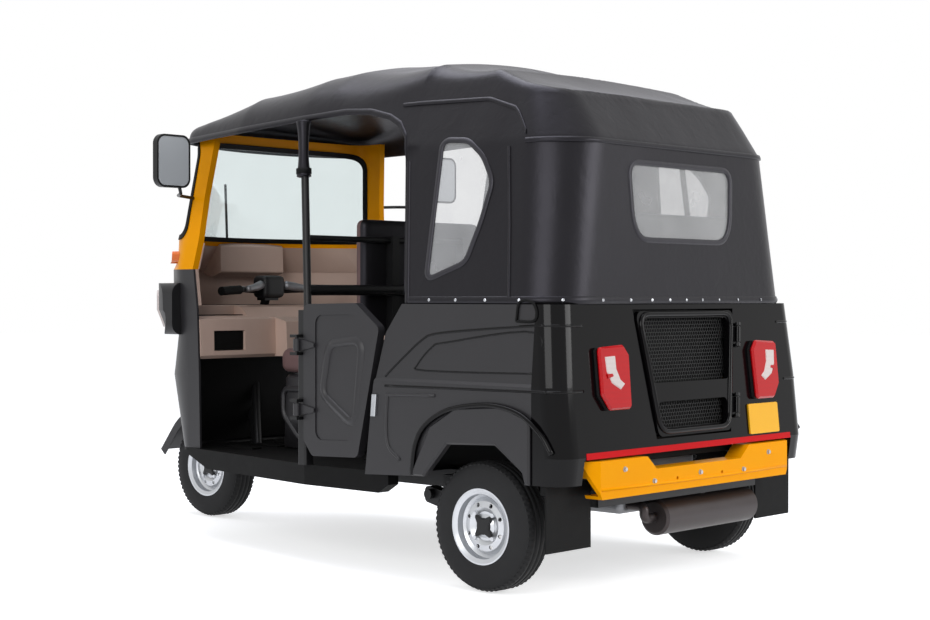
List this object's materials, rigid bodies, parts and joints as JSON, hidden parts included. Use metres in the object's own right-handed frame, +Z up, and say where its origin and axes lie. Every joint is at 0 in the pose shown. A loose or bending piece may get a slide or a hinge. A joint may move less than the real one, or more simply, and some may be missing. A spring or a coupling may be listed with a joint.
{
  "type": "auto rickshaw",
  "caption": "Three-wheeled passenger carrier with a black canopy, hinged side doors, rear engine hatch and a single steered front wheel.",
  "frame": {"origin": "on the ground below the middle of the whole vehicle's box", "axes": "+X forward, +Y to the left, +Z up"},
  "size_m": [2.635, 1.526, 1.7038],
  "materials": {
    "yellow_paint": "gloss paint",
    "charcoal_body": "satin charcoal",
    "black_gloss": "gloss black",
    "black_steel": "black paint",
    "canopy_cloth": "black coated cloth",
    "clear_plastic": "clear vinyl",
    "glass": "clear",
    "rubber": "matt",
    "tyre": "matt",
    "wheel_silver": "silver paint",
    "trim_plastic": "moulded taupe",
    "black_plastic": "moulded black",
    "seat_vinyl": "maroon brown vinyl",
    "engine_metal": "cast",
    "exhaust_steel": "heat stained",
    "bright_steel": "zinc",
    "lamp_lens": "clear red",
    "head_lens": "clear",
    "amber_lens": "clear amber",
    "mirror": "mirror",
    "plate": "blank plate"
  },
  "bodies": {
    "root": {"front_upper_panel": "yellow_paint", "rear_bumper": "yellow_paint", "side_panel_left": "charcoal_body", "side_panel_right": "charcoal_body", "front_apron": "charcoal_body", "rear_panel": "black_gloss", "chassis_frame": "black_steel", "rear_arms": "black_steel", "door_posts": "black_steel", "floor_pan": "black_steel", "canopy_hoops": "black_steel", "hatch_hinge_pins": "black_steel", "door_hinge_pins": "black_steel", "door_catches": "black_steel", "engine_bay_cover": "black_steel", "driver_seat_box": "black_steel", "canopy_roof": "canopy_cloth", "canopy_side_left": "canopy_cloth", "canopy_side_right": "canopy_cloth", "canopy_rear": "canopy_cloth", "canopy_windows": "clear_plastic", "windscreen": "glass", "windscreen_seal": "rubber", "mud_flaps": "rubber", "dash_liner": "trim_plastic", "dash_tray": "trim_plastic", "instrument_pod": "black_plastic", "headlamp_housings": "black_plastic", "mirror_arms": "black_plastic", "wiper": "black_plastic", "tail_lamp_housings": "black_plastic", "driver_seat_cushion": "seat_vinyl", "driver_backrest": "seat_vinyl", "passenger_cushion": "seat_vinyl", "passenger_backrest": "seat_vinyl", "engine_block": "engine_metal", "silencer": "exhaust_steel", "rear_dampers": "bright_steel", "drive_shafts": "bright_steel", "tail_lamp_lenses": "lamp_lens", "headlamp_lenses": "head_lens", "indicators": "amber_lens", "mirror_glass": "mirror", "number_plate": "plate"},
    "steering": {"front_fork": "black_steel", "front_damper": "bright_steel", "front_mudguard": "black_plastic", "handlebar": "bright_steel", "handlebar_grips": "rubber"},
    "front_wheel": {"wheel_front": "wheel_silver", "tyre_front": "tyre"},
    "rear_wheel_left": {"wheel_rear_left": "wheel_silver", "tyre_rear_left": "tyre"},
    "rear_wheel_right": {"wheel_rear_right": "wheel_silver", "tyre_rear_right": "tyre"},
    "left_door": {"door_left": "charcoal_body"},
    "right_door": {"door_right": "charcoal_body"},
    "hatch": {"engine_hatch": "black_gloss", "hatch_mesh": "black_steel"}
  },
  "joints": [
    {"name": "steering", "type": "hinge", "parent": "root", "child": "steering", "pos_m": [0.9845, 0, 0.35], "axis": [-0.4138, 0, 0.9104], "range_deg": [-40, 40]},
    {"name": "front_wheel_spin", "type": "hinge", "parent": "steering", "child": "front_wheel", "pos_m": [1.0545, 0, 0.2], "axis": [0, 1, 0], "continuous": true},
    {"name": "rear_left_spin", "type": "hinge", "parent": "root", "child": "rear_wheel_left", "pos_m": [-0.9455, 0.5575, 0.2], "axis": [0, 1, 0], "continuous": true},
    {"name": "rear_right_spin", "type": "hinge", "parent": "root", "child": "rear_wheel_right", "pos_m": [-0.9455, -0.5575, 0.2], "axis": [0, 1, 0], "continuous": true},
    {"name": "left_door_hinge", "type": "hinge", "parent": "root", "child": "left_door", "pos_m": [-0.1795, 0.66, 0.6], "axis": [0, 0, -1], "range_deg": [0, 95]},
    {"name": "right_door_hinge", "type": "hinge", "parent": "root", "child": "right_door", "pos_m": [-0.1795, -0.66, 0.6], "axis": [0, 0, 1], "range_deg": [0, 95]},
    {"name": "hatch_hinge", "type": "hinge", "parent": "root", "child": "hatch", "pos_m": [-1.30546, -0.22215, 0.51828], "axis": [0.1029, -0.1692, 0.9802], "range_deg": [0, 100]}
  ]
}
